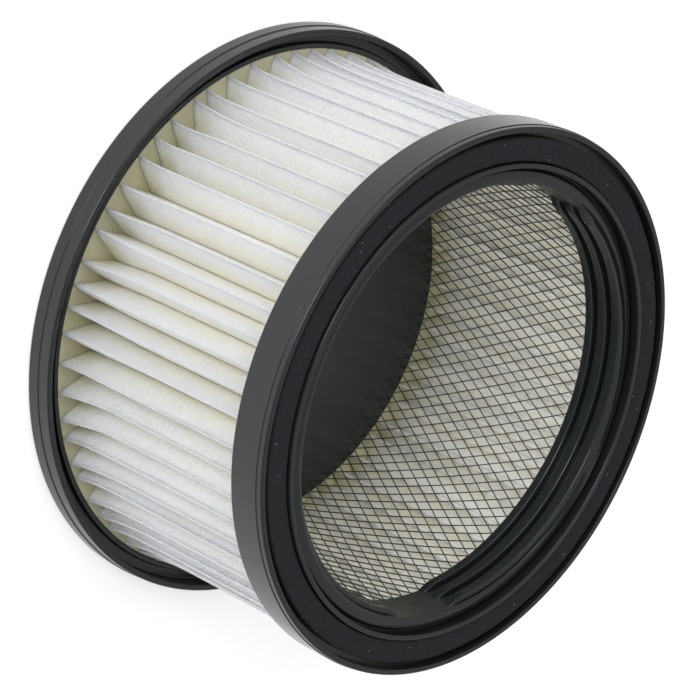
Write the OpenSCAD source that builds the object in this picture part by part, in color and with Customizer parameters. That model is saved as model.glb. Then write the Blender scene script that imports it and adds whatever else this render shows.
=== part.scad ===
// Pleated cartridge filter for an ash vacuum cleaner.
// It stands on its closed end: Z = 0 is the underside of the closed cap, +Z runs along the
// cartridge axis to the open, threaded end. All sizes in millimetres.

/* [Cartridge] */
// Height over both end caps
overall_h = 88; // [60:1:160]
// Smooth angle of all turned surfaces
surface_fn = 120; // [60:20:180]

/* [Thread in the open end] */
// Clear diameter between the crests of the thread
thread_d = 123; // [100:1:140]
// Height of a thread ridge above the wall it stands on
thread_depth = 1.7; // [1:0.1:2.2]
// Distance from one ridge to the next, and their climb in one full turn
thread_pitch = 5.2; // [4.6:0.1:5.4]
// Ridges in each threaded stretch
thread_ridges = 3; // [1:1:3]
// Width of a ridge at its crest
crest_w = 2.6; // [1.6:0.1:3]
// Sideways run of each flank, from crest to wall
flank_w = 0.5; // [0.2:0.1:0.8]
// Depth of the top ridge below the rim, at the middle of the first threaded stretch
thread_top = 3.5; // [3:0.1:4]
// Angle that each ridge end takes to rise from the wall to full height
ridge_run_in = 6; // [3:1:10]
// Start angle of the first threaded stretch
stretch_a_start = 30; // [20:1:40]
// Angle covered by the first threaded stretch
stretch_a_span = 144; // [100:1:150]
// Start angle of the second threaded stretch
stretch_b_start = 188; // [184:1:200]
// Angle covered by the second threaded stretch
stretch_b_span = 184; // [100:1:186]

/* [Collar] */
// Wall of the collar tube that carries the thread
collar_wall = 1.7; // [1.2:0.1:3]
// Length of the collar tube below the rim
collar_h = 15.7; // [14:0.1:25]
// Set-back of the mouth's inner edge from the tube wall
mouth_setback = 1; // [0.5:0.1:1.6]
// Depth of the mouth's inner edge below the rim
mouth_drop = 1.5; // [0.8:0.1:2]
// Width of the sloping ring between the mouth's edge and the raised lip
mouth_w = 3.7; // [2:0.1:5]
// Depth of the groove at the foot of the lip
groove_depth = 3.9; // [2.5:0.1:4.2]
// Thickness of the raised lip beside the gasket
lip_wall = 1.5; // [1:0.1:2]

/* [Open end cap] */
// Height of the outer band
band_h = 11.5; // [10:0.5:25]
// Wall of the outer band
band_wall = 1.9; // [1.4:0.1:3]
// Distance of the fine step from the rim
band_step_h = 1.9; // [1:0.1:4]
// Radial depth of the fine step
band_step = 0.25; // [0.1:0.05:0.6]
// Depth of the gasket seat below the rim
seat_depth = 3.3; // [2.5:0.1:5]
// Thickness of the plastic under the gasket seat
web_wall = 2.2; // [1.6:0.1:4]

/* [Gasket] */
// Thickness of the foam gasket
gasket_t = 2.5; // [1.5:0.1:4]
// Gap between the gasket and the band around it
gasket_outer_gap = 1.2; // [0.3:0.1:2]
// Gap between the gasket and the lip inside it
gasket_inner_gap = 0.3; // [0.1:0.1:1]

/* [Filter media] */
// Number of pleats around the cartridge
pleat_count = 64; // [40:1:80]
// Radial depth of a pleat
pleat_depth = 11.8; // [8:0.1:16]
// Thickness of the folded sheet
media_t = 0.6; // [0.4:0.05:0.8]

/* [Support mesh] */
// Thickness of the mesh
mesh_t = 0.5; // [0.4:0.1:1]
// Diamond openings around the tube
mesh_columns = 24; // [12:1:24]
// Rows of diamond openings along the tube
mesh_rows = 5; // [3:1:5]
// Width of the strands between the openings
strand_w = 2.4; // [1.6:0.1:3.5]

/* [Closed end cap] */
// Height of the outer skirt
skirt_h = 8.2; // [7:0.1:14]
// Wall of the outer skirt
skirt_wall = 2.2; // [1.5:0.1:3]
// Distance of the step from the underside
skirt_step_h = 4.2; // [2:0.1:5]
// Radial depth of the step
skirt_step = 0.3; // [0.1:0.05:0.6]
// Width of the open channel inside the skirt
channel_w = 2.9; // [2:0.1:6]
// Height of the channel's floor above the underside
channel_floor_h = 3.3; // [2:0.1:4]
// Thickness of the lip around the pleats
seat_lip_wall = 1.5; // [1:0.1:2.5]
// Height of the lip around the pleats
seat_lip_h = 5.2; // [4.2:0.1:6.5]
// Gap between the pleats and the lip, filled by the adhesive
seat_gap = 1.8; // [0.5:0.1:3]
// Height of the floor under the pleats
trough_floor_h = 2.6; // [1.6:0.1:3.2]
// Height of the round middle plate above the underside
plate_h = 8; // [6:0.1:14]
// Thickness of the middle plate and of its wall
plate_wall = 2.2; // [1.5:0.1:3]

/* [Adhesive and fits] */
// Depth of the adhesive ring in the open end cap
front_bond_h = 3.5; // [2:0.1:5]
// Height of the adhesive's surface above the underside of the closed cap
rear_bond_top = 4.9; // [4:0.1:6]
// Adhesive left between the sheet's edge and the cap it stands on
bond_bed = 0.5; // [0.3:0.1:1]
// Gap between the adhesive and what it fills round
bond_gap = 0.05; // [0.02:0.01:0.1]
// Slide fit between the mesh and the parts inside it
mesh_fit = 0.15; // [0.1:0.05:0.4]
// Gap between the mesh and the inner folds
fold_gap = 0.25; // [0.15:0.05:0.5]
// Gap between the outer folds and the band
band_gap = 0.5; // [0.2:0.1:1]

/* [Hidden] */
$fn = surface_fn;

// Edges are broken by this much
edge = 0.4;
// Overshoot of cutting shapes
over = 1;
// Plastic left outside the buried foot of a thread ridge
foot_cover = 0.35;

// Radii, from the thread outwards
crest_r = thread_d / 2;
tube_r = crest_r + thread_depth;
tube_outer_r = tube_r + collar_wall;
mesh_inner_r = tube_outer_r + mesh_fit;
mesh_outer_r = mesh_inner_r + mesh_t;
fold_inner_r = mesh_outer_r + fold_gap;
fold_outer_r = fold_inner_r + pleat_depth;
band_inner_r = fold_outer_r + band_gap;
band_r = band_inner_r + band_wall;
mouth_r = tube_r + mouth_setback;
lip_inner_r = mouth_r + mouth_w;
lip_outer_r = lip_inner_r + lip_wall;
seat_lip_inner_r = fold_outer_r + seat_gap;
seat_lip_outer_r = seat_lip_inner_r + seat_lip_wall;
skirt_inner_r = seat_lip_outer_r + channel_w;
skirt_r = skirt_inner_r + skirt_wall;

// Heights, from the rim downwards and from the underside upwards
rim_z = overall_h;
seat_z = rim_z - seat_depth;
web_z = seat_z - web_wall;
band_z = rim_z - band_h;
collar_z = rim_z - collar_h;
mouth_z = rim_z - mouth_drop;
media_top_z = web_z - bond_bed;
media_bottom_z = trough_floor_h + bond_bed;
media_h = media_top_z - media_bottom_z;

// A point at a radius and an angle
function polar(r, a) = [r * cos(a), r * sin(a)];

// A profile in the radius and height plane, turned about the axis
module turned(profile) {
    rotate_extrude() polygon(profile);
}

// A flat ring in the XY plane
module ring_2d(inner_r, outer_r) {
    difference() {
        circle(r = outer_r);
        circle(r = inner_r);
    }
}

// Open end cap: band, gasket seat, lip, mouth and threaded collar in one moulding
module front_cap_body() {
    turned([
        [band_inner_r, band_z],
        [band_r - edge, band_z],
        [band_r, band_z + edge],
        [band_r, rim_z - band_step_h],
        [band_r - band_step, rim_z - band_step_h],
        [band_r - band_step, rim_z - edge],
        [band_r - band_step - edge, rim_z],
        [band_inner_r + edge / 2, rim_z],
        [band_inner_r, rim_z - edge / 2],
        [band_inner_r, seat_z],
        [lip_outer_r, seat_z],
        [lip_outer_r, rim_z - edge],
        [lip_outer_r - edge, rim_z],
        [lip_inner_r + edge, rim_z],
        [lip_inner_r, rim_z - edge],
        [lip_inner_r, rim_z - groove_depth + edge],
        [lip_inner_r - edge, rim_z - groove_depth],
        [mouth_r + edge, mouth_z],
        [mouth_r, mouth_z - edge],
        [tube_r, mouth_z - edge - mouth_setback],
        [tube_r, collar_z + edge],
        [tube_r + edge, collar_z],
        [tube_outer_r, collar_z],
        [tube_outer_r, web_z],
        [band_inner_r, web_z]
    ]);
}

// The slanted end of a ridge in plan, from outside the wall to inside the crest
function ridge_end(angle, run_in) =
    let (foot = polar(tube_r, angle), top = polar(crest_r, angle + run_in))
    [2 * foot - top, 2 * top - foot];

// Plan of one threaded stretch: crest radius inside, ends that run in from the wall
module stretch_plan(start, span) {
    far_r = 2 * tube_r;
    near_r = crest_r - 2 * over;
    arc_step = span / 8;
    first_end = ridge_end(start, ridge_run_in);
    last_end = ridge_end(start + span, -ridge_run_in);
    difference() {
        intersection() {
            circle(r = tube_outer_r - foot_cover);
            polygon(concat(
                [first_end[1], first_end[0]],
                [for (i = [0 : 8]) polar(far_r, start + i * arc_step)],
                [last_end[0], last_end[1]],
                [for (i = [7 : -1 : 1]) polar(near_r, start + i * arc_step)]
            ));
        }
        circle(r = crest_r);
    }
}

// One ridge: a ring tilted so that it climbs with the thread from one end of its stretch
// to the other
module climbing_ridge(middle, span, z) {
    climb = thread_pitch * span / 720;
    tilt = asin(climb / sin(span / 2) / crest_r);
    half_crest = crest_w / 2;
    slope = flank_w / thread_depth;
    inner_r = crest_r - over;
    outer_r = tube_outer_r;
    half_inner = half_crest - slope * over;
    half_outer = half_crest + slope * (outer_r - crest_r);
    rotate([0, 0, middle])
    translate([0, 0, z])
    rotate([tilt, 0, 0])
    turned([
        [inner_r, -half_inner],
        [outer_r, -half_outer],
        [outer_r, half_outer],
        [inner_r, half_inner]
    ]);
}

// One threaded stretch of the collar, its top ridge's middle at height z
module threaded_stretch(start, span, z) {
    intersection() {
        translate([0, 0, collar_z]) linear_extrude(mouth_z - collar_z) stretch_plan(start, span);
        union() {
            for (i = [0 : thread_ridges - 1]) {
                climbing_ridge(start + span / 2, span, z - i * thread_pitch);
            }
        }
    }
}

module front_cap() {
    middle_a = stretch_a_start + stretch_a_span / 2;
    middle_b = stretch_b_start + stretch_b_span / 2;
    turns_between = (middle_b - middle_a) / 360;
    top_a = rim_z - thread_top;
    top_b = top_a + (turns_between - 1) * thread_pitch;
    color("dimgray")
    union() {
        front_cap_body();
        threaded_stretch(stretch_a_start, stretch_a_span, top_a);
        threaded_stretch(stretch_b_start, stretch_b_span, top_b);
    }
}

// Foam ring that lies in the seat, a little below the rim
module gasket() {
    color("black")
    translate([0, 0, seat_z])
    linear_extrude(gasket_t)
    ring_2d(lip_outer_r + gasket_inner_gap, band_inner_r - gasket_outer_gap);
}

// Angle from an outer fold to the inner fold beside it
fold_step = 180 / pleat_count;

// A point turned about the axis
function turned_point(p, a) = [p[0] * cos(a) - p[1] * sin(a), p[0] * sin(a) + p[1] * cos(a)];

// The folded sheet in plan, grown on every side by a gap. Its middle line runs straight from
// each outer fold to the next inner fold, and every bend is rounded on its outside.
module folded_sheet_2d(gap) {
    half_t = media_t / 2 + gap;
    out_r = fold_outer_r - media_t / 2;
    in_r = fold_inner_r + media_t / 2;
    // Angles between the sheet and the radius at its outer and inner folds
    out_lean = atan2(in_r * sin(fold_step), out_r - in_r * cos(fold_step));
    in_lean = out_lean + fold_step;
    outer_bend = [out_r + half_t * sin(out_lean), half_t * cos(out_lean)];
    inner_bend = [in_r - half_t * sin(in_lean), half_t * cos(in_lean)];
    outer_face = [for (i = [0 : pleat_count - 1], p = [
        turned_point([outer_bend[0], -outer_bend[1]], 2 * i * fold_step),
        polar(out_r + half_t, 2 * i * fold_step),
        turned_point(outer_bend, 2 * i * fold_step),
        polar(in_r + half_t / sin(in_lean), (2 * i + 1) * fold_step)
    ]) p];
    inner_face = [for (i = [0 : pleat_count - 1], p = [
        polar(out_r - half_t / sin(out_lean), 2 * i * fold_step),
        turned_point([inner_bend[0], -inner_bend[1]], (2 * i + 1) * fold_step),
        polar(in_r - half_t, (2 * i + 1) * fold_step),
        turned_point(inner_bend, (2 * i + 1) * fold_step)
    ]) p];
    difference() {
        polygon(outer_face);
        polygon(inner_face);
    }
}

module pleat_pack() {
    color("ivory")
    translate([0, 0, media_bottom_z])
    linear_extrude(media_h)
    folded_sheet_2d(0);
}

// One diamond opening, cut through the wall from the axis outwards
module diamond_cut(angle, z, half_w, half_h) {
    rotate([0, 0, angle])
    translate([mesh_inner_r - over, 0, z])
    rotate([90, 0, 90])
    linear_extrude(mesh_t + 2 * over)
    polygon([[-half_w, 0], [0, -half_h], [half_w, 0], [0, half_h]]);
}

// Diamond mesh tube that holds the inner folds
module support_mesh() {
    column_w = 2 * PI * mesh_inner_r / mesh_columns;
    row_h = media_h / (mesh_rows + 1);
    reach = norm([column_w, 2 * row_h]);
    half_w = column_w / 2 - strand_w * reach / (4 * row_h);
    half_h = row_h - strand_w * reach / (2 * column_w);
    color("darkslategray")
    difference() {
        translate([0, 0, media_bottom_z]) linear_extrude(media_h) ring_2d(mesh_inner_r, mesh_outer_r);
        for (row = [1 : mesh_rows], column = [0 : mesh_columns - 1]) {
            diamond_cut(
                (column + (row % 2) / 2) * 360 / mesh_columns,
                media_bottom_z + row * row_h,
                half_w,
                half_h
            );
        }
    }
}

// Adhesive cast round the ends of the sheet: a bed under its edge and a wedge in each fold
module bond_ring(bed_z, bed_h, outer_r, fill_z, fill_h) {
    union() {
        translate([0, 0, bed_z])
        linear_extrude(bed_h)
        ring_2d(mesh_inner_r, outer_r);
        translate([0, 0, fill_z])
        linear_extrude(fill_h)
        difference() {
            ring_2d(mesh_outer_r + bond_gap, outer_r);
            folded_sheet_2d(bond_gap);
        }
    }
}

module front_bond() {
    color("khaki")
    bond_ring(media_top_z, bond_bed, band_inner_r - bond_gap, web_z - front_bond_h, front_bond_h);
}

module rear_bond() {
    fill_h = rear_bond_top - trough_floor_h;
    color("khaki")
    bond_ring(trough_floor_h, bond_bed, seat_lip_inner_r - bond_gap, trough_floor_h, fill_h);
}

// Closed end cap: skirt, channel, lip, trough and raised middle plate, hollow from below
module rear_cap() {
    color("dimgray")
    turned([
        [0, plate_h],
        [tube_outer_r - edge, plate_h],
        [tube_outer_r, plate_h - edge],
        [tube_outer_r, trough_floor_h],
        [seat_lip_inner_r, trough_floor_h],
        [seat_lip_inner_r, seat_lip_h - edge],
        [seat_lip_inner_r + edge, seat_lip_h],
        [seat_lip_outer_r - edge, seat_lip_h],
        [seat_lip_outer_r, seat_lip_h - edge],
        [seat_lip_outer_r, channel_floor_h],
        [skirt_inner_r, channel_floor_h],
        [skirt_inner_r, skirt_h - edge],
        [skirt_inner_r + edge, skirt_h],
        [skirt_r - skirt_step - edge, skirt_h],
        [skirt_r - skirt_step, skirt_h - edge],
        [skirt_r - skirt_step, skirt_step_h],
        [skirt_r, skirt_step_h - skirt_step],
        [skirt_r, edge],
        [skirt_r - edge, 0],
        [tube_outer_r - plate_wall + edge, 0],
        [tube_outer_r - plate_wall, edge],
        [tube_outer_r - plate_wall, plate_h - plate_wall - edge],
        [tube_outer_r - plate_wall - edge, plate_h - plate_wall],
        [0, plate_h - plate_wall]
    ]);
}

front_cap();
gasket();
front_bond();
pleat_pack();
support_mesh();
rear_bond();
rear_cap();
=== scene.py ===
import math
import random

import bmesh
import bpy
from mathutils import Matrix, Vector, noise


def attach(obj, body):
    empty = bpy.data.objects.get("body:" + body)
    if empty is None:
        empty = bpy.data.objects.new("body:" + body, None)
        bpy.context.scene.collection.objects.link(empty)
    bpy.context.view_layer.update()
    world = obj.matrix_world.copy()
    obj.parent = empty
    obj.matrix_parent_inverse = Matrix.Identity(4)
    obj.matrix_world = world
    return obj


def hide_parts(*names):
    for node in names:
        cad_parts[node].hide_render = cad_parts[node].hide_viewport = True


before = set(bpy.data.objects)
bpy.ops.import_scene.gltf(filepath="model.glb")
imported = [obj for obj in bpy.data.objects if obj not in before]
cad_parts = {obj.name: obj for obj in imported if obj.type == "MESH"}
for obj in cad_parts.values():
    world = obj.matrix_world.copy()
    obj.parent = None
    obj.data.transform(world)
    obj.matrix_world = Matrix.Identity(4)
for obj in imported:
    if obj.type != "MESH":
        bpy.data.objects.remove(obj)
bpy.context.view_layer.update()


# The closed end cap. One black injection moulding that the filter sheet is cast into: a skirt
# with a fine step line, an open channel, a lip round the pleats, a trough for the adhesive and
# a raised middle plate, hollow underneath.
MM = 0.001
PLEAT_TIP_R = 77.6
REAR_PROFILE = [
    (0, 8.0, 0),
    (64.9, 8.0, 0.5),
    (64.9, 2.6, 0),
    (79.4, 2.6, 0.3),
    (79.4, 5.2, 0.35),
    (80.9, 5.2, 0.35),
    (80.9, 3.3, 0.4),
    (83.8, 3.3, 0.4),
    (83.8, 8.2, 0.45),
    (85.7, 8.2, 0.5),
    (85.7, 4.3, 0.1),
    (86.0, 4.1, 0.1),
    (86.0, 0, 0.6),
    (62.7, 0, 0.4),
    (62.7, 5.8, 0.4),
    (0, 5.8, 0),
]


def turned(corners, steps=288):
    """Turns a section about the axis; corners are (radius, height, rounding) in millimetres."""
    bm = bmesh.new()
    points = [bm.verts.new((radius * MM, 0, height * MM)) for radius, height, _ in corners]
    bm.faces.new(points)
    for rounding in sorted({c[2] for c in corners if c[2]}):
        bmesh.ops.bevel(
            bm,
            geom=[p for p, c in zip(points, corners) if c[2] == rounding],
            offset=rounding * MM,
            offset_type="OFFSET",
            segments=3,
            profile=0.5,
            affect="VERTICES",
            material=-1,
        )
    bmesh.ops.delete(bm, geom=bm.faces[:], context="FACES_ONLY")
    on_axis = [e for e in bm.edges if max(v.co.x for v in e.verts) < 0.001 * MM]
    bmesh.ops.delete(bm, geom=on_axis, context="EDGES")
    spin_about_axis(bm, bm.verts[:] + bm.edges[:], math.tau, steps, use_merge=True)
    bmesh.ops.remove_doubles(bm, verts=bm.verts[:], dist=0.001 * MM)
    bmesh.ops.recalc_face_normals(bm, faces=bm.faces[:])
    return bm


def spin_about_axis(bm, geom, angle, steps, rise=0.0, **options):
    """Sweeps or copies geometry round the cartridge's axis, climbing by rise at each step."""
    return bmesh.ops.spin(
        bm,
        geom=geom,
        cent=(0, 0, 0),
        axis=(0, 0, 1),
        dvec=(0, 0, rise),
        angle=angle,
        steps=steps,
        space=Matrix(),
        **options,
    )


def add_piece(name, bm, material, slot, *nodes, even=False):
    """Makes a piece of a mesh, with its finish, in the place of the CAD nodes it stands for."""
    mesh = bpy.data.meshes.new(name)
    bm.to_mesh(mesh)
    bm.free()
    for face in mesh.polygons:
        face.use_smooth = True
    mesh.materials.append(material)
    piece = bpy.data.objects.new(name, mesh)
    bpy.context.scene.collection.objects.link(piece)
    if even:
        piece.modifiers.new("even_shading", "WEIGHTED_NORMAL").keep_sharp = True
    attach(piece, "root")
    if nodes:
        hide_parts(*nodes)
    return piece


def new_finish(name, **sockets):
    """A material with its shader's sockets set, returned with its nodes and shader."""
    material = bpy.data.materials.new(name)
    material.use_nodes = True
    shader = material.node_tree.nodes["Principled BSDF"]
    for socket, value in sockets.items():
        shader.inputs[socket.replace("_", " ")].default_value = value
    return material, material.node_tree, shader


def add_node(tree, kind, settings=None, **inputs):
    """Adds a node; inputs, by name or _number, are values or the sockets they are linked from."""
    made = tree.nodes.new(kind)
    for setting, value in (settings or {}).items():
        setattr(made, setting, value)
    for key, value in inputs.items():
        numbered = key[1:].isdigit()
        socket = made.inputs[int(key[1:]) if numbered else key.replace("_", " ")]
        if isinstance(value, bpy.types.NodeSocket):
            tree.links.new(value, socket)
        else:
            socket.default_value = value
    return made


def black_moulding(name, roughness, grain):
    """Satin black plastic: moulded skin with a little orange peel, cloudy gloss and fine dust; the
    slight teal in its colour is a painted reflection.
    """
    material, tree, shader = new_finish(name)
    place = add_node(tree, "ShaderNodeTexCoord").outputs["Object"]
    cloud = add_node(tree, "ShaderNodeTexNoise", Vector=place, Scale=55.0, Detail=4.0, Roughness=0.6)
    rough = add_node(
        tree,
        "ShaderNodeMapRange",
        _0=cloud.outputs[0],
        _1=0.3,
        _2=0.7,
        _3=roughness - 0.05,
        _4=roughness + 0.06,
    )
    tree.links.new(rough.outputs[0], shader.inputs["Roughness"])
    skin = add_node(tree, "ShaderNodeTexNoise", Vector=place, Scale=grain, Detail=3.0, Roughness=0.55)
    bump = add_node(tree, "ShaderNodeBump", Strength=0.12, Distance=0.0002, Height=skin.outputs[0])
    tree.links.new(bump.outputs[0], shader.inputs["Normal"])
    dust = add_node(tree, "ShaderNodeTexNoise", Vector=place, Scale=260.0, Detail=5.0, Roughness=0.7)
    dusty = add_node(tree, "ShaderNodeMapRange", _0=dust.outputs[0], _1=0.5, _2=0.85, _3=0.0, _4=0.35)
    # Both blacks carry a slight teal that is a painted reflection; the lighter one is fine dust
    colour = add_node(
        tree,
        "ShaderNodeMix",
        {"data_type": "RGBA"},
        _0=dusty.outputs[0],
        _6=(0.0115, 0.0135, 0.0140, 1),
        _7=(0.024, 0.026, 0.0260, 1),
    )
    tree.links.new(colour.outputs[2], shader.inputs["Base Color"])
    return material


cap_black = black_moulding("cap_black_moulding", 0.22, 900.0)
add_piece("closed_end_cap", turned(REAR_PROFILE), cap_black, "cap_plastic", "rear_cap", even=True)


# The filter sheet. White non-woven polyester, embossed with rows of small dashes, folded into
# sixty-four pleats that are set by hand, so that no two folds lie quite alike. Near the closed
# cap it has drawn up a little of the yellow adhesive, with painted shade deep in its valleys there.
PLEATS = 64
POINTS_PER_LEG = 8
SHEET_T = 0.55
SHEET_BOTTOM = 3.1
SHEET_TOP = 82.0
SHEET_ROWS = 36
INNER_FOLD_R = 65.8
FOLD_STEP = math.tau / PLEATS / 2
LEG_LENGTH = 12.4
RESIN_TOP = 4.9
FREE_HEIGHT = 20.0
FLARE_HEIGHT = 6.5
SEAT_LIP_R = 79.4
CREASE_EASE = 0.85
BELLY = 0.15
SWAY = 0.3
SWAY_PER_FOLD = 3.7
SWAY_PER_MM = 0.055

folding = random.Random(64)
fold_count = 2 * PLEATS
fold_turn = [folding.uniform(-0.2, 0.2) * FOLD_STEP * 2 for _ in range(fold_count)]
fold_drift = [turn * 0.4 + folding.uniform(-0.12, 0.12) * FOLD_STEP * 2 for turn in fold_turn]
fold_reach = [folding.uniform(-0.45, 0.1) for _ in range(fold_count)]


def fold_point(index, height):
    """Where a fold's crease lies at a height; even folds are outer and odd ones are inner."""
    own = index % fold_count
    share = min(1.0, max(0.0, (height - RESIN_TOP) / FREE_HEIGHT))
    free = share * share * (3 - 2 * share)
    angle = index * FOLD_STEP + fold_turn[own] * (1 - free) + fold_drift[own] * free
    if own % 2:
        radius = INNER_FOLD_R + SHEET_T / 2 + 0.2 + max(0.0, fold_reach[own])
    else:
        flare = (SEAT_LIP_R - PLEAT_TIP_R) * math.exp((RESIN_TOP - height) / FLARE_HEIGHT)
        radius = min(PLEAT_TIP_R + fold_reach[own] * free + flare, SEAT_LIP_R - 0.1) - SHEET_T / 2
    return Vector((math.cos(angle), math.sin(angle), 0)) * radius


sheet = bmesh.new()
bmesh.ops.create_circle(sheet, segments=fold_count * POINTS_PER_LEG, radius=PLEAT_TIP_R)
edge_row = sheet.edges[:]
row_height = (SHEET_TOP - SHEET_BOTTOM) / SHEET_ROWS
for _ in range(SHEET_ROWS):
    raised = bmesh.ops.extrude_edge_only(sheet, edges=edge_row)["geom"]
    row_points = [g for g in raised if isinstance(g, bmesh.types.BMVert)]
    bmesh.ops.translate(sheet, verts=row_points, vec=(0, 0, row_height))
    edge_row = [
        g
        for g in raised
        if isinstance(g, bmesh.types.BMEdge) and abs(g.verts[0].co.z - g.verts[1].co.z) < 0.001
    ]
along_sheet = {}
for point in sheet.verts:
    turns = math.atan2(point.co.y, point.co.x) / math.tau % 1.0
    along_sheet[point] = round(turns * fold_count * POINTS_PER_LEG) / POINTS_PER_LEG % fold_count
sheet_uv = sheet.loops.layers.uv.new("sheet")
for face in sheet.faces:
    wraps = max(along_sheet[loop.vert] for loop in face.loops) > fold_count - 1
    for loop in face.loops:
        legs = along_sheet[loop.vert]
        if wraps and legs < 1:
            legs += fold_count
        loop[sheet_uv].uv = (legs * LEG_LENGTH, loop.vert.co.z)
for point, legs in along_sheet.items():
    height = SHEET_BOTTOM + point.co.z
    index = math.floor(legs)
    share = legs - index
    near = share - CREASE_EASE * math.sin(math.tau * share) / math.tau
    start, end = fold_point(index, height), fold_point(index + 1, height)
    place = start.lerp(end, near)
    across = Vector((start.y - end.y, end.x - start.x, 0)).normalized()
    outward = 1 if index % 2 == 0 else -1
    sway = noise.noise(Vector((index * SWAY_PER_FOLD, height * SWAY_PER_MM, 1.3)))
    belly = math.sin(math.pi * near)
    place += across * belly * (-BELLY * outward + SWAY * sway)
    place.z = height
    point.co = place
bmesh.ops.transform(sheet, matrix=Matrix.Scale(MM, 4), verts=sheet.verts[:])
bmesh.ops.recalc_face_normals(sheet, faces=sheet.faces[:])


def embossed_sheet(name):
    """White non-woven sheet: dashes pressed in rows, cream inner folds, a yellowed glue line and
    painted shade deep in the valleys near the cap.
    """
    material, tree, shader = new_finish(
        name,
        Roughness=0.85,
        Specular_IOR_Level=0.25,
        Subsurface_Weight=0.9,
        Subsurface_Radius=(0.004, 0.0038, 0.0031),
        Subsurface_Scale=1.0,
        Sheen_Weight=0.15,
    )
    texture = add_node(tree, "ShaderNodeTexCoord")
    place = texture.outputs["Object"]
    # Height above the base and distance from the axis, both in metres
    parts = add_node(tree, "ShaderNodeSeparateXYZ", _0=place)
    flat = add_node(tree, "ShaderNodeCombineXYZ", X=parts.outputs[0], Y=parts.outputs[1])
    radius = add_node(tree, "ShaderNodeVectorMath", {"operation": "LENGTH"}, _0=flat.outputs[0])
    ragged = add_node(tree, "ShaderNodeTexNoise", Vector=place, Scale=160.0, Detail=4.0, Roughness=0.6)
    product = {"operation": "MULTIPLY"}
    product_and_sum = {"operation": "MULTIPLY_ADD"}
    low = add_node(
        tree,
        "ShaderNodeMath",
        product_and_sum,
        _0=ragged.outputs[0],
        _1=-0.007,
        _2=parts.outputs[2],
    )
    glued = add_node(
        tree,
        "ShaderNodeMapRange",
        _0=low.outputs[0],
        _1=0.002,
        _2=0.010,
        _3=1.0,
        _4=0.0,
    )
    # Painted shade: the glue's olive tint is made strongest deep in the valleys, where shade falls
    valley_shade = add_node(
        tree,
        "ShaderNodeMapRange",
        _0=radius.outputs["Value"],
        _1=0.0775,
        _2=0.073,
        _3=0.0,
        _4=1.0,
    )
    glue_and_valley_shade = add_node(tree, "ShaderNodeMath", product, _0=glued.outputs[0], _1=valley_shade.outputs[0])
    fibres = add_node(tree, "ShaderNodeTexNoise", Vector=place, Scale=700.0, Detail=5.0, Roughness=0.65)
    white = add_node(
        tree,
        "ShaderNodeMix",
        {"data_type": "RGBA"},
        _0=fibres.outputs[0],
        _6=(0.86, 0.87, 0.83, 1),
        _7=(0.93, 0.935, 0.91, 1),
    )
    inside = add_node(
        tree,
        "ShaderNodeMapRange",
        _0=radius.outputs["Value"],
        _1=0.074,
        _2=0.067,
        _3=0.0,
        _4=1.0,
    )
    lining = add_node(
        tree,
        "ShaderNodeMix",
        {"data_type": "RGBA"},
        _0=inside.outputs[0],
        _6=white.outputs[2],
        _7=(0.94, 0.90, 0.72, 1),
    )
    # The olive below is the glue's yellow darkened by painted shade
    colour = add_node(
        tree,
        "ShaderNodeMix",
        {"data_type": "RGBA"},
        _0=glue_and_valley_shade.outputs[0],
        _6=lining.outputs[2],
        _7=(0.62, 0.59, 0.40, 1),
    )
    tree.links.new(colour.outputs[2], shader.inputs["Base Color"])
    # Dashes in staggered rows along the sheet, 1.9 by 1.15 mm apart
    dashes = add_node(
        tree,
        "ShaderNodeTexBrick",
        {"offset": 0.5, "offset_frequency": 2},
        Vector=texture.outputs["UV"],
        Scale=1.0,
        Mortar_Size=0.3,
        Mortar_Smooth=0.6,
        Brick_Width=1.9,
        Row_Height=1.15,
    )
    pressed = add_node(tree, "ShaderNodeMath", product, _0=dashes.outputs["Fac"], _1=0.8)
    relief = add_node(tree, "ShaderNodeMath", product_and_sum, _0=fibres.outputs[0], _1=0.6)
    tree.links.new(pressed.outputs[0], relief.inputs[2])
    bump = add_node(tree, "ShaderNodeBump", Strength=0.8, Distance=0.0003, Height=relief.outputs[0])
    tree.links.new(bump.outputs[0], shader.inputs["Normal"])
    return material


white_sheet = embossed_sheet("embossed_sheet")
filter_sheet = add_piece("folded_filter_sheet", sheet, white_sheet, "filter_paper", "pleat_pack")
thickness = filter_sheet.modifiers.new("sheet_thickness", "SOLIDIFY")
thickness.thickness = SHEET_T * MM
thickness.offset = 0


# The adhesive. A pale yellow casting resin poured into each cap to hold the ends of the sheet;
# its free surface has set a little unevenly.
REAR_RESIN = [(65.2, 2.6, 0), (79.3, 2.6, 0), (79.3, 4.9, 0.3), (76.5, 4.6, 0.5), (65.2, 4.9, 0.3)]
FRONT_RESIN = [(65.2, 82.5, 0), (65.2, 79.0, 0.3), (78.0, 79.0, 0.3), (78.0, 82.5, 0)]
RESIN_BEDS = (2.6, 82.5)
SETTLE = 0.25
SETTLE_WAVES = 90


def cast_resin(name):
    """Cloudy yellow resin with a soft gloss."""
    material, tree, shader = new_finish(
        name,
        Roughness=0.35,
        Subsurface_Weight=0.4,
        Subsurface_Radius=(0.002, 0.0015, 0.0007),
        Subsurface_Scale=1.0,
    )
    place = add_node(tree, "ShaderNodeTexCoord").outputs["Object"]
    cloud = add_node(tree, "ShaderNodeTexNoise", Vector=place, Scale=120.0, Detail=3.0)
    colour = add_node(
        tree,
        "ShaderNodeMix",
        {"data_type": "RGBA"},
        _0=cloud.outputs[0],
        _6=(0.44, 0.42, 0.28, 1),
        _7=(0.60, 0.58, 0.42, 1),
    )
    tree.links.new(colour.outputs[2], shader.inputs["Base Color"])
    return material


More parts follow.
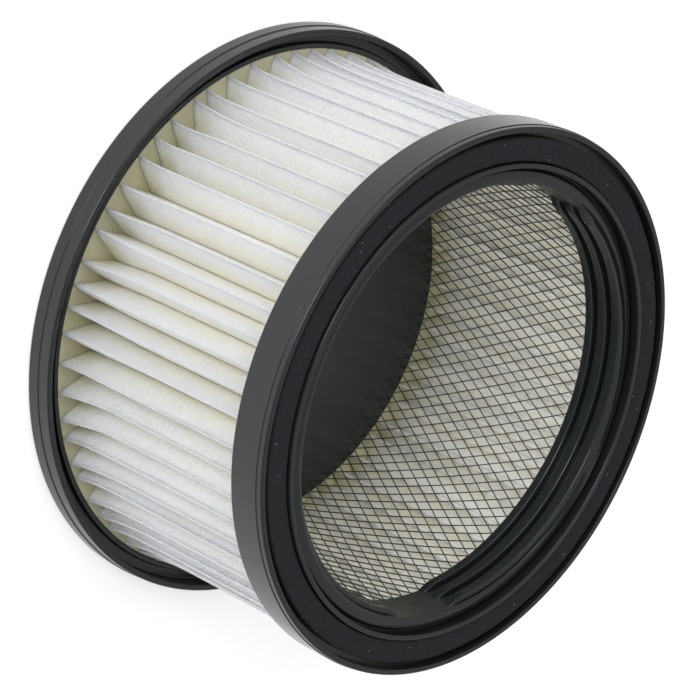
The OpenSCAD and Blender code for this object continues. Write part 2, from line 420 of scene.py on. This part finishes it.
resin = cast_resin("cast_resin")
for resin_name, resin_profile, resin_node in (
    ("closed_end_resin", REAR_RESIN, "rear_bond"),
    ("open_end_resin", FRONT_RESIN, "front_bond"),
):
    poured = turned(resin_profile, 240)
    for point in poured.verts:
        if min(abs(point.co.z / MM - bed) for bed in RESIN_BEDS) > 0.1:
            point.co.z += SETTLE * MM * noise.noise(point.co * SETTLE_WAVES)
    add_piece(resin_name, poured, resin, "adhesive", resin_node)


# The support mesh. Extruded plastic netting: two sets of fine strands, one wound each way round
# the cartridge, welded where they cross into diamonds of 3.5 by 6.6 mm.
STRANDS = 118
DIAMOND_H = 6.6
STRAND_R = 0.19
NET_R = 65.3
NET_BOTTOM = 3.1
NET_TOP = 82.0
STRAND_STEPS = 14
STRAND_OFFSET = 0.06


def netting(name):
    """Dark olive plastic, slightly glossy."""
    material, tree, shader = new_finish(name, Roughness=0.42)
    place = add_node(tree, "ShaderNodeTexCoord").outputs["Object"]
    cloud = add_node(tree, "ShaderNodeTexNoise", Vector=place, Scale=300.0, Detail=2.0)
    colour = add_node(
        tree,
        "ShaderNodeMix",
        {"data_type": "RGBA"},
        _0=cloud.outputs[0],
        _6=(0.016, 0.015, 0.008, 1),
        _7=(0.030, 0.027, 0.014, 1),
    )
    tree.links.new(colour.outputs[2], shader.inputs["Base Color"])
    return material


net = bmesh.new()
net_height = NET_TOP - NET_BOTTOM
strand_turn = math.tau / STRANDS * net_height / DIAMOND_H
for way in (1, -1):
    strand = bmesh.new()
    bmesh.ops.create_circle(strand, cap_ends=True, segments=6, radius=STRAND_R * MM)
    strand_start = ((NET_R + STRAND_OFFSET * way) * MM, 0, NET_BOTTOM * MM)
    bmesh.ops.translate(strand, verts=strand.verts[:], vec=strand_start)
    spin_about_axis(
        strand,
        strand.verts[:] + strand.edges[:] + strand.faces[:],
        way * strand_turn,
        STRAND_STEPS,
        net_height / STRAND_STEPS * MM,
    )
    bmesh.ops.recalc_face_normals(strand, faces=strand.faces[:])
    spin_about_axis(
        strand,
        strand.verts[:] + strand.edges[:] + strand.faces[:],
        math.tau * (STRANDS - 1) / STRANDS,
        STRANDS - 1,
        use_duplicate=True,
    )
    part = bpy.data.meshes.new("strands")
    strand.to_mesh(part)
    strand.free()
    net.from_mesh(part)
    bpy.data.meshes.remove(part)
add_piece("netting_tube", net, netting("dark_netting"), "mesh_plastic", "support_mesh")


# The open end cap. One black moulding with an outer band, a seat for the gasket, a raised lip,
# a sloping mouth and a collar. The collar carries one right-handed thread of three ridges, left
# out over two short gaps so that the core of the mould can be drawn.
CAP_TOP = 88.0
COLLAR_R = 63.2
CREST_R = 61.5
COLLAR_BOTTOM = 72.3
MOUTH_Z = 86.5
THREAD_PITCH = 5.2
CREST_W = 2.6
FLANK_W = 0.55
RUN_IN = 6.0
TOP_RIDGE_DEPTH = 3.5
RIDGE_ROOT = 0.9
RIDGE_SUNK = 0.3
RIDGE_STEP = 1.5
FIRST_START, FIRST_SPAN = 30, 142
SECOND_START, SECOND_SPAN = 188, 184
FRONT_PROFILE = [
    (78.1, 76.5, 0.15),
    (80.0, 76.5, 0.4),
    (80.0, 86.1, 0.1),
    (79.75, 86.15, 0.1),
    (79.75, 88.0, 0.45),
    (78.1, 88.0, 0.3),
    (78.1, 84.7, 0.2),
    (69.4, 84.7, 0.2),
    (69.4, 88.0, 0.4),
    (67.9, 88.0, 0.4),
    (67.9, 84.3, 0.2),
    (67.4, 84.3, 0.2),
    (66.9, 85.7, 0.5),
    (63.2, 86.5, 1.3),
    (63.2, 72.3, 0.3),
    (64.9, 72.3, 0.15),
    (64.9, 82.5, 0),
    (78.1, 82.5, 0),
]


def thread_ridge(start, span, height):
    """One ridge of the thread from one gap to the next; height is that of its start."""
    ridge = bmesh.new()
    foot_r = COLLAR_R + RIDGE_ROOT
    foot_w = CREST_W / 2 + FLANK_W * (foot_r - CREST_R) / (COLLAR_R - CREST_R)
    section = [
        (foot_r, -foot_w),
        (foot_r, foot_w),
        (CREST_R, CREST_W / 2),
        (CREST_R, -CREST_W / 2),
    ]
    corners = [ridge.verts.new((radius * MM, 0, (height + z) * MM)) for radius, z in section]
    ridge.faces.new(corners)
    bmesh.ops.bevel(
        ridge,
        geom=corners[2:],
        offset=0.3 * MM,
        offset_type="OFFSET",
        segments=3,
        profile=0.5,
        affect="VERTICES",
        material=-1,
    )
    steps = round(span / RIDGE_STEP)
    rise = THREAD_PITCH * span / 360 / steps * MM
    whole = ridge.verts[:] + ridge.edges[:] + ridge.faces[:]
    spin_about_axis(ridge, whole, math.radians(span), steps, rise)
    for point in ridge.verts:
        angle = math.degrees(math.atan2(point.co.y, point.co.x)) % 360
        from_end = min(angle, span - angle)
        sunk = 1 - math.sin(math.pi / 2 * min(1, max(0, from_end) / RUN_IN))
        radius = math.hypot(point.co.x, point.co.y)
        outward = sunk * (COLLAR_R + RIDGE_SUNK - CREST_R) * MM
        if radius < (COLLAR_R + RIDGE_SUNK) * MM:
            point.co.xy *= (radius + outward) / radius
    turn = Matrix.Rotation(math.radians(start), 3, "Z")
    bmesh.ops.rotate(ridge, verts=ridge.verts[:], cent=(0, 0, 0), matrix=turn)
    for level, up in ((MOUTH_Z - 0.08, 1), (COLLAR_BOTTOM + 0.02, -1)):
        cut = bmesh.ops.bisect_plane(
            ridge,
            geom=ridge.verts[:] + ridge.edges[:] + ridge.faces[:],
            dist=1e-7,
            plane_co=(0, 0, level * MM),
            plane_no=(0, 0, up),
            clear_outer=True,
        )
        rim = [g for g in cut["geom_cut"] if isinstance(g, bmesh.types.BMEdge)]
        if rim:
            bmesh.ops.triangle_fill(ridge, edges=rim, use_beauty=True)
    bmesh.ops.recalc_face_normals(ridge, faces=ridge.faces[:])
    return ridge


front = turned(FRONT_PROFILE, 360)
first_height = CAP_TOP - TOP_RIDGE_DEPTH - THREAD_PITCH * FIRST_SPAN / 720
second_height = first_height + THREAD_PITCH * (SECOND_START - FIRST_START) / 360 - THREAD_PITCH
for start, span, height in (
    (FIRST_START, FIRST_SPAN, first_height),
    (SECOND_START, SECOND_SPAN, second_height),
):
    for row in range(3):
        ridge = thread_ridge(start, span, height - row * THREAD_PITCH)
        part = bpy.data.meshes.new("ridge")
        ridge.to_mesh(part)
        ridge.free()
        front.from_mesh(part)
        bpy.data.meshes.remove(part)
add_piece("threaded_open_cap", front, cap_black, "cap_plastic", "front_cap", even=True)


# The gasket. A ring punched from black open-cell foam and laid in the seat by hand, so that it
# is a little oval: its outer edge lies closer to the band along Y than along X.
FOAM_PROFILE = [(69.7, 84.7, 0.3), (76.9, 84.7, 0.3), (76.9, 87.2, 0.7), (69.7, 87.2, 0.5)]
FOAM_INNER_R = 69.7
FOAM_WIDTH = 7.2
FOAM_FREE_Z = 85
FOAM_OVAL = 0.55
FOAM_CELL = 0.45
FOAM_WAVE = 3
CELL_RELIEF = 0.07
WAVE_RELIEF = 0.1


def open_cell_foam(name):
    """Black foam: dull, pitted with cells, with a few bright specks."""
    material, tree, shader = new_finish(name, Roughness=0.9, Specular_IOR_Level=0.3)
    place = add_node(tree, "ShaderNodeTexCoord").outputs["Object"]
    cells = add_node(tree, "ShaderNodeTexVoronoi", Vector=place, Scale=1800.0)
    specks = add_node(tree, "ShaderNodeTexVoronoi", Vector=place, Scale=420.0)
    bright = add_node(
        tree,
        "ShaderNodeMapRange",
        _0=specks.outputs["Distance"],
        _1=0.05,
        _2=0.11,
        _3=1.0,
        _4=0.0,
    )
    chosen = add_node(tree, "ShaderNodeSeparateColor", _0=specks.outputs["Color"])
    above = {"operation": "GREATER_THAN"}
    rare = add_node(tree, "ShaderNodeMath", above, _0=chosen.outputs[0], _1=0.7)
    product = {"operation": "MULTIPLY"}
    speck = add_node(tree, "ShaderNodeMath", product, _0=bright.outputs[0], _1=rare.outputs[0])
    tone = add_node(tree, "ShaderNodeTexNoise", Vector=place, Scale=500.0, Detail=6.0, Roughness=0.7)
    dark = add_node(
        tree,
        "ShaderNodeMix",
        {"data_type": "RGBA"},
        _0=tone.outputs[0],
        _6=(0.006, 0.006, 0.008, 1),
        _7=(0.030, 0.031, 0.036, 1),
    )
    colour = add_node(
        tree,
        "ShaderNodeMix",
        {"data_type": "RGBA"},
        _0=speck.outputs[0],
        _6=dark.outputs[2],
        _7=(0.30, 0.31, 0.33, 1),
    )
    tree.links.new(colour.outputs[2], shader.inputs["Base Color"])
    height = add_node(
        tree,
        "ShaderNodeMath",
        {"operation": "MULTIPLY_ADD"},
        _0=cells.outputs["Distance"],
        _1=0.7,
        _2=tone.outputs[0],
    )
    bump = add_node(tree, "ShaderNodeBump", Strength=0.6, Distance=0.0003, Height=height.outputs[0])
    tree.links.new(bump.outputs[0], shader.inputs["Normal"])
    return material


foam = turned(FOAM_PROFILE, 900)
level_edges = [e for e in foam.edges if abs(e.verts[0].co.z - e.verts[1].co.z) < 0.01 * MM]
wide_edges = [e for e in level_edges if (e.verts[0].co - e.verts[1].co).length > 4 * MM]
bmesh.ops.subdivide_edges(foam, edges=wide_edges, cuts=13, use_grid_fill=True)
for point in foam.verts:
    angle = math.atan2(point.co.y, point.co.x)
    radius = math.hypot(point.co.x, point.co.y)
    outer_share = (radius / MM - FOAM_INNER_R) / FOAM_WIDTH
    oval = -FOAM_OVAL * (1 + math.cos(2 * angle)) / 2 * outer_share
    cell_rough = noise.noise(point.co / (FOAM_CELL * MM)) * CELL_RELIEF
    rough = cell_rough + noise.noise(point.co / (FOAM_WAVE * MM)) * WAVE_RELIEF
    point.co.xy *= 1 + (oval + rough * 0.5) * MM / radius
    if point.co.z > FOAM_FREE_Z * MM:
        point.co.z += rough * MM
foam_ring = add_piece("foam_gasket_ring", foam, open_cell_foam("open_cell_foam"), "foam", "gasket")


# The studio. A pale, faintly glowing sheet under the cartridge in a white room, a soft key
# light from the side, a weaker one from above and a small fill lamp hung inside the cartridge,
# which the camera doesn't see.
FLOOR_HALF_SIZE = 3.0
FLOOR_DROP = 0.1
KEY_PLACE = (-0.15, -1.2, 0.42)
KEY_TARGET = (0, 0, 0.06)
TOP_PLACE = (-0.6, -0.5, 1.1)
TOP_TARGET = (0, 0, 0.05)
FILL_PLACE = (0, 0, 0.062)


def hang_lamp(name, kind, place, power):
    """Hangs a lamp of a kind at a place."""
    lamp = bpy.data.lights.new(name, kind)
    lamp.energy = power
    light = bpy.data.objects.new(name, lamp)
    light.location = place
    bpy.context.scene.collection.objects.link(light)
    return light


def soft_light(name, place, target, size, power):
    """Hangs a square soft light that faces a target."""
    light = hang_lamp(name, "AREA", place, power)
    light.data.shape = "SQUARE"
    light.data.size = size
    facing = (Vector(target) - Vector(place)).to_track_quat("-Z", "Y")
    light.rotation_euler = facing.to_euler()


backdrop = bmesh.new()
bmesh.ops.create_grid(backdrop, x_segments=1, y_segments=1, size=FLOOR_HALF_SIZE)
bmesh.ops.translate(backdrop, verts=backdrop.verts[:], vec=(0, 0, -FLOOR_DROP * MM))
backdrop_mesh = bpy.data.meshes.new("pale_floor")
backdrop.to_mesh(backdrop_mesh)
backdrop.free()
paper, paper_tree, paper_shader = new_finish(
    "pale_paper",
    Base_Color=(0.93, 0.93, 0.93, 1),
    Roughness=0.9,
    Specular_IOR_Level=0.1,
    Emission_Color=(1, 1, 1, 1),
    Emission_Strength=0.45,
)
backdrop_mesh.materials.append(paper)
pale_floor = bpy.data.objects.new("pale_floor", backdrop_mesh)
bpy.context.scene.collection.objects.link(pale_floor)

room = bpy.data.worlds.new("white_room")
room.use_nodes = True
room_light = room.node_tree.nodes["Background"].inputs
room_light["Color"].default_value = (0.97, 0.98, 1.0, 1)
room_light["Strength"].default_value = 0.55
bpy.context.scene.world = room
bpy.context.scene.view_settings.view_transform = "Standard"

soft_light("soft_key", KEY_PLACE, KEY_TARGET, size=0.45, power=6)
soft_light("soft_top", TOP_PLACE, TOP_TARGET, size=0.6, power=3)
inner_fill = hang_lamp("inner_fill", "POINT", FILL_PLACE, power=0.12)
inner_fill.data.shadow_soft_size = 0.02
inner_fill.visible_camera = False
inner_fill.visible_glossy = False

# The camera looks down at the cartridge from its side at forty degrees, rolled so that the
# axis runs from the upper left to the lower right of the picture.
CAMERA_PLACE = (-0.0001, -0.7147, 0.6417)
CAMERA_TILT = math.radians(49.81)
CAMERA_ROLL = math.radians(114.57)
CAMERA_LENS = 169.85
CAMERA_SENSOR = 36
camera_data = bpy.data.cameras.new("camera")
camera_data.lens = CAMERA_LENS
camera_data.sensor_width = CAMERA_SENSOR
camera = bpy.data.objects.new("camera", camera_data)
tilted = Matrix.Translation(CAMERA_PLACE) @ Matrix.Rotation(CAMERA_TILT, 4, "X")
camera.matrix_world = tilted @ Matrix.Rotation(CAMERA_ROLL, 4, "Z")
bpy.context.scene.collection.objects.link(camera)
bpy.context.scene.camera = camera
